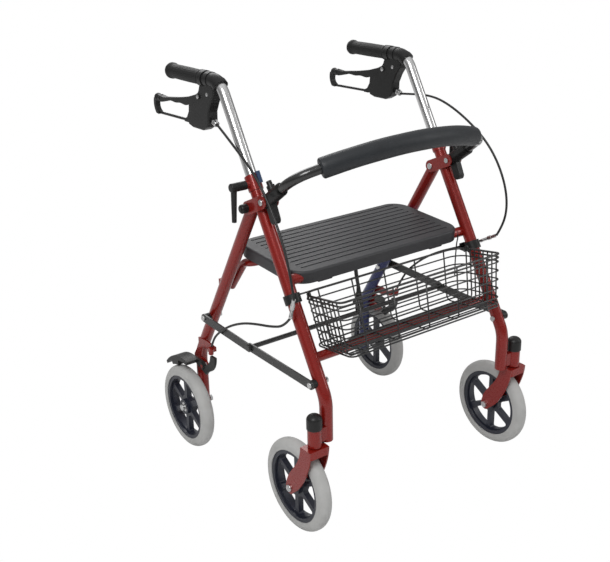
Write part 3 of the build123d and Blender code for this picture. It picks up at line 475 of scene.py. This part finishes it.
def basket():
    """Welded wire basket: rings, side-to-side hoops, front-to-back hoops, doubled rim and hooks."""
    bm = bmesh.new()

    def wire(corners, radii, r):
        add_tube(bm, rounded_path(corners, radii), r, 8)

    add_tube(bm, basket_ring(1.0, [0.034, 0.034, 0.012, 0.012]), RIM_WIRE, 10, closed=True)
    for height in (0.17, 0.34, 0.51, 0.68, 0.85):
        add_tube(bm, basket_ring(height, [0.030, 0.030, 0.012, 0.012]), MESH_WIRE, 8, closed=True)
    add_tube(bm, basket_ring(0.0, [0.020, 0.020, 0.012, 0.012]), MESH_WIRE * 1.15, 8, closed=True)
    for k in range(8):
        d = 0.20 + 0.70 * k / 7
        corners = [basket_point(-1, d, 1), basket_point(-1, d, 0), basket_point(1, d, 0), basket_point(1, d, 1)]
        wire(corners, [0, 0.012, 0.012, 0], MESH_WIRE)
    for a in (-0.80, -0.40, 0.0, 0.40, 0.80):
        corners = [basket_point(a, 0, 1), basket_point(a, 0, 0), basket_point(a, 1, 0), basket_point(a, 1, 1)]
        wire(corners, [0, 0.012, 0.012, 0], MESH_WIRE)
    second = [basket_point(-1, 0.16, 0.93), basket_point(-1, 1, 0.93), basket_point(1, 1, 0.93),
              basket_point(1, 0.35, 0.93)]
    wire(second, [0, 0.012, 0.012, 0], RIM_WIRE * 0.85)
    low = [basket_point(-1, 0.8, 0.06), basket_point(-1, 1, 0.06), basket_point(1, 1, 0.06), basket_point(1, 0.8, 0.06)]
    wire(low, [0, 0.012, 0.012, 0], MESH_WIRE)
    y, z = BASKET_TOP[0]
    add_tube(bm, [work(-222, y, z), work(222, y, z)], RIM_WIRE * 0.8, 10)
    for a in (-1, 1):
        foot_back, foot_front = basket_point(a, 0.16, 0.93), basket_point(a, 0.26, 0.93)
        peak = (foot_back + foot_front) / 2 + Vector((0, 0, 0.021))
        wire([foot_back, peak, foot_front], [0, 0.004, 0], RIM_WIRE * 0.85)
    obj = link_mesh("basket_wires", mesh_from(bm, "basket_wires"), "basket_wire")
    finished(obj, "basket", "basket_wire", "basket")


# ---------------------------------------------------------------- backrest pad

FOAM_SIDES = 48
HINGE = Vector(JOINT["backrest_fold"]["pos_m"])
BACK_OUT = Vector((0, -math.cos(math.radians(36)), math.sin(math.radians(36))))
CORNER_CENTRE, CORNER_R, HOOP_DEPTH = (0.181, 0.068), 0.055, 0.170
REACH = HOOP_DEPTH - CORNER_CENTRE[1]
FRONT_R = (CORNER_CENTRE[0] ** 2 + REACH ** 2 - CORNER_R ** 2) / (2 * (REACH - CORNER_R))
FRONT_CENTRE = HOOP_DEPTH - FRONT_R
PAD_HALF, PAD_R = 0.190, 0.0195


def hoop_point(x, out):
    """Point of the backrest's plane: x across, out from the hinge line."""
    return Vector((x, HINGE.y, HINGE.z)) + BACK_OUT * out


def pad():
    """Foam sleeve on the hoop's wide front arc, with softly rounded ends."""
    end = math.asin(PAD_HALF / FRONT_R)
    angles = [-end + 2 * end * k / 80 for k in range(81)]
    line = [hoop_point(FRONT_R * math.sin(a), FRONT_CENTRE + FRONT_R * math.cos(a)) for a in angles]
    shoulder = ((0.0, 0.0097), (0.0, 0.0150), (0.0006, 0.0173), (0.0018, 0.0188), (0.0036, 0.0195))
    first, last = (line[1] - line[0]).normalized(), (line[-2] - line[-1]).normalized()
    inner = line[2:-2]
    points = [line[0] + first * d for d, _ in shoulder] + inner + [line[-1] + last * d for d, _ in reversed(shoulder)]
    radii = [r for _, r in shoulder]
    radii += [PAD_R + 0.00012 * math.sin(i * 0.31 + 1.0) - 0.0001 for i in range(len(inner))]
    radii += [r for _, r in reversed(shoulder)]
    tangents = [first] * len(shoulder) + [(b - a).normalized() for a, b in zip(inner, inner[1:])]
    tangents += [(inner[-1] - inner[-2]).normalized()] + [-last] * len(shoulder)
    normal = BACK_OUT.cross(Vector((1, 0, 0))).normalized()
    bm = bmesh.new()
    rings = []
    for point, tangent, r in zip(points, tangents, radii):
        side = tangent.cross(normal).normalized()
        rings.append([bm.verts.new(point + (side * math.cos(a) + normal * math.sin(a)) * r)
                      for a in (2 * math.pi * k / FOAM_SIDES for k in range(FOAM_SIDES))])
    for lower, upper in zip(rings, rings[1:]):
        for k in range(FOAM_SIDES):
            bm.faces.new((lower[k], lower[(k + 1) % FOAM_SIDES], upper[(k + 1) % FOAM_SIDES], upper[k]))
    obj = link_mesh("backrest_foam", mesh_from(bm, "backrest_foam"), "foam")
    sharp_by_angle(obj, 40)
    finished(obj, "backrest", "foam", "backrest_pad")


def hoop_ring():
    """Bright ring clip round the hoop, in the bend beside the foam's left end."""
    turn = math.radians(62)
    place = hoop_point(CORNER_CENTRE[0] + CORNER_R * math.sin(turn), CORNER_CENTRE[1] + CORNER_R * math.cos(turn))
    axis = Vector((math.cos(turn), 0, 0)) - BACK_OUT * math.sin(turn)
    profile = [(-0.0042, 0.0098, 0), (-0.0042, 0.0108, 0), (0.0042, 0.0108, 0), (0.0042, 0.0098, 0)]
    finished(lathe("hoop_ring", profile, place, axis, "bolt_steel", 32), "backrest", "bolt_steel")


# ---------------------------------------------------------------- hand grips

def lathe(name, profile, origin, axis, material, sides=48, ribs=0, rib_depth=0.0):
    """Turns (distance, radius) pairs about an axis; ribs are shallow ridges along it."""
    axis = axis.normalized()
    side = axis.orthogonal().normalized()
    up = axis.cross(side)
    bm = bmesh.new()
    rings = []
    for distance, radius, ribbed in profile:
        ring = []
        for k in range(sides):
            a = 2 * math.pi * k / sides
            r = radius - (rib_depth * ribbed * (0.5 + 0.5 * math.cos(ribs * a)) if ribs else 0.0)
            ring.append(bm.verts.new(origin + axis * distance + (side * math.cos(a) + up * math.sin(a)) * r))
        rings.append(ring)
    for lower, upper in zip(rings, rings[1:]):
        for k in range(sides):
            bm.faces.new((lower[k], lower[(k + 1) % sides], upper[(k + 1) % sides], upper[k]))
    bm.faces.new(list(reversed(rings[0])))
    bm.faces.new(rings[-1])
    return sharp_by_angle(link_mesh(name, mesh_from(bm, name), material), 40)


def grip(side):
    """Soft ribbed grip, turned to the CAD grip's length, with a collar and a flared end."""
    low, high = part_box(f"grip_{side}")
    centre = (low + high) / 2
    origin = Vector((centre.x, low.y, centre.z))
    length = high.y - low.y
    body = [(0.0, 0.0112, 0), (0.0, 0.0150, 0), (0.0012, 0.0160, 0), (0.0045, 0.0160, 0), (0.0060, 0.0146, 0)]
    count = 24
    for k in range(count + 1):
        t = k / count
        radius = 0.0143 + 0.0004 * math.sin(math.pi * t)
        body.append((0.009 + (length - 0.026) * t, radius, min(1.0, 6 * t, 6 * (1 - t))))
    body += [(length - 0.0135, 0.0152, 0), (length - 0.0105, 0.0163, 0), (length - 0.0050, 0.0163, 0),
             (length - 0.0015, 0.0148, 0), (length, 0.0122, 0), (length, 0.0060, 0)]
    obj = lathe(f"hand_grip_{side}", body, origin, Vector((0, 1, 0)), "grip_rubber", 96, 24, 0.0003)
    finished(obj, f"handle_{side}", "grip_rubber", f"grip_{side}")


def dome(name, centre, axis, radius, height, material, body, slot):
    """Small domed rivet or screw head."""
    profile = [(0.0, radius, 0), (height * 0.45, radius * 0.96, 0), (height * 0.75, radius * 0.75, 0),
               (height * 0.95, radius * 0.40, 0), (height, radius * 0.12, 0)]
    finished(lathe(name, profile, centre, axis, material, 24), body, slot)


def handle_fittings(side, s):
    """Silver rivets of the brake bracket and the ferrule that the cable leaves by."""
    body = f"handle_{side}"
    rivets = (("lever_pin_head", 13.7, 206, 798, 0.0046), ("bracket_rivet", 11.4, 174, 806, 0.0040))
    for face, label in ((1, "outer"), (-1, "inner")):
        for name, reach, y, z, r in rivets:
            dome(f"{name}_{side}_{label}", work(s * LEG_X + face * s * reach, y, z), Vector((face * s, 0, 0)),
                 r, 0.0018, "bolt_steel", body, "bolt_steel")
    start, end = work(s * (LEG_X + 0.4), 169.0, 752.0), work(*UPPER_ROUTE[side][0])
    axis = end - start
    n = axis.length
    profile = [(0.0, 0.0060, 0), (0.0, 0.0068, 0), (n * 0.30, 0.0068, 0), (n * 0.34, 0.0054, 0), (n * 0.44, 0.0054, 0),
               (n * 0.48, 0.0061, 0), (n * 0.84, 0.0061, 0), (n * 0.92, 0.0050, 0), (n, 0.0046, 0)]
    finished(lathe(f"cable_ferrule_{side}", profile, start, axis, "bolt_steel", 24), body, "bolt_steel")


# ---------------------------------------------------------------- brake cables

UPPER_ROUTE = {
    "left": [(237, 158.5, 748.6), (246, 126, 751), (252, 92, 753), (254, 52, 749), (256, 6, 733), (258, -40, 709),
             (261, -82, 678), (264, -112, 640), (265, -134, 596), (265, -142, 553), (264, -135, 514), (262, -120, 487)],
    "right": [(-237, 158.5, 748.6), (-245, 116, 736), (-251.5, 68, 717), (-254, 19, 692), (-256, -22, 659),
              (-258, -56, 620), (-260, -85, 578), (-261.5, -104, 534), (-262, -114, 500), (-262, -118, 478)],
}
LOWER_ROUTE = {
    "left": [(262, -76, 463), (263, -40, 444), (265, 4, 424), (267, 50, 403), (269, 96, 377), (269, 138, 345),
             (267, 170, 312), (262, 188, 272)],
    "right": [(-262, -106, 438), (-263, -86, 414), (-265, -46, 400), (-267, 0, 390), (-268, 48, 376),
              (-269, 96, 354), (-269, 138, 326), (-267, 170, 298), (-262, 188, 272)],
}
CABLE_R = 0.0024


def cables(side, s):
    """Upper and lower cable of one side, and the barrel adjuster between them."""
    upper = smooth_line([work(*p) for p in UPPER_ROUTE[side]])
    lower = smooth_line([work(*p) for p in LOWER_ROUTE[side]])
    obj = tube(f"cable_upper_{side}", upper, CABLE_R, "cable_casing", 12)
    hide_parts(f"brake_cable_upper_{side}")
    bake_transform(obj)
    obj = tube(f"cable_lower_{side}", lower, CABLE_R, "cable_casing", 12)
    if s > 0:
        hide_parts("brake_cables_lower")
    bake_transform(obj)
    a, b = upper[-1], lower[0]
    axis = b - a
    n = axis.length
    profile = [(0.0, 0.0026, 0), (0.0, 0.0036, 0), (n * 0.30, 0.0036, 0), (n * 0.30, 0.0044, 0), (n * 0.52, 0.0044, 0),
               (n * 0.52, 0.0030, 0)]
    for k in range(10):
        d = n * (0.54 + 0.034 * k)
        profile += [(d, 0.0034, 0), (d + n * 0.017, 0.0029, 0)]
    profile += [(n * 0.90, 0.0038, 0), (n, 0.0038, 0), (n, 0.0026, 0)]
    finished(lathe(f"cable_adjuster_{side}", profile, a, axis, "bolt_steel", 24), "front_frame", "bolt_steel")


# ---------------------------------------------------------------- strap and tie

def strap():
    """Webbing loop: round the cross rod and up in two legs, the rear one twisted half over."""
    rod_y, rod_z, x0 = 43.0, 322.0, 24.0
    half, thick = 5.5, 1.5
    route = [
        (x0, rod_y - 6.4, rod_z), (x0 + 0.5, rod_y - 7.5, rod_z + 14), (x0 - 3, rod_y - 4, rod_z + 45),
         (x0 - 9, rod_y, rod_z + 95), (x0 - 9, rod_y + 4, rod_z + 132), (x0 - 6, rod_y + 13, rod_z + 147),
         (x0 - 1, rod_y + 21, rod_z + 136), (x0 + 2, rod_y + 20, rod_z + 100), (x0 + 4, rod_y + 12, rod_z + 55),
         (x0 + 1, rod_y + 8, rod_z + 16), (x0, rod_y + 6.4, rod_z), (x0, rod_y, rod_z - 6.4)]
    line = smooth_line([work(*p) for p in route], closed=True, order=4, resolution=10)
    count = len(line)
    bm = bmesh.new()
    rings = []
    for i, point in enumerate(line):
        tangent = (line[(i + 1) % count] - line[i - 1]).normalized()
        lift = max(0.0, min(1.0, (point.z * 1000 - rod_z - 12) / 60))
        twist = lift * (0.45 if point.y < work(0, rod_y + 11, 0).y else 1.25)
        wide = Vector((math.cos(twist), math.sin(twist), 0.0))
        wide = (wide - tangent * wide.dot(tangent)).normalized()
        out = tangent.cross(wide).normalized()
        w, t = half / 1000, thick / 2000
        rings.append([bm.verts.new(point + wide * a * w + out * b * t)
                      for a, b in ((-1, -1), (-0.9, -1.15), (0, -1.15), (0.9, -1.15), (1, -1),
                                   (1, 1), (0.9, 1.15), (0, 1.15), (-0.9, 1.15), (-1, 1))])
    for lower, upper in zip(rings, rings[1:] + rings[:1]):
        for k in range(10):
            bm.faces.new((lower[k], lower[(k + 1) % 10], upper[(k + 1) % 10], upper[k]))
    obj = link_mesh("lift_strap_webbing", mesh_from(bm, "lift_strap_webbing"), "webbing")
    sharp_by_angle(obj, 50)
    finished(obj, "braces_front", "webbing", "lift_strap")
    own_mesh(obj)


def hanging_tie():
    """Thin tie round the seat bar with its loose end hanging."""
    line = smooth_line([work(*p) for p in ((208, -57.5, 492), (208, -62.0, 480), (207.6, -58.5, 468), (207, -57.4, 440),
                                           (206.6, -57.0, 415), (206.9, -57.2, 392))])
    finished(tube("hanging_tie", line, 0.0014, "cable_casing", 10), "front_frame", "cable_casing")


# ---------------------------------------------------------------- everything

# nodes that take the red paint with painted navy shade below the seat, where the seat's shadow falls
UNDER_SEAT_SHADE_NODES = {"rear_leg_left": "red_and_navy_paint"}


def paint_cad_nodes():
    """Gives each CAD node the procedural material of its slot."""
    for part in frame["record"]["subparts"]:
        obj = frame["nodes"][part["node"]]
        material = MATERIALS[UNDER_SEAT_SHADE_NODES.get(part["node"], part["material_slot"])]
        obj.data.materials.clear()
        obj.data.materials.append(material)


camera()
MATERIALS = all_materials()
studio()
paint_cad_nodes()
basket()
pad()
hoop_ring()
for side_name, sign in SIDES.items():
    grip(side_name)
    handle_fittings(side_name, sign)
    cables(side_name, sign)
strap()
hanging_tie()
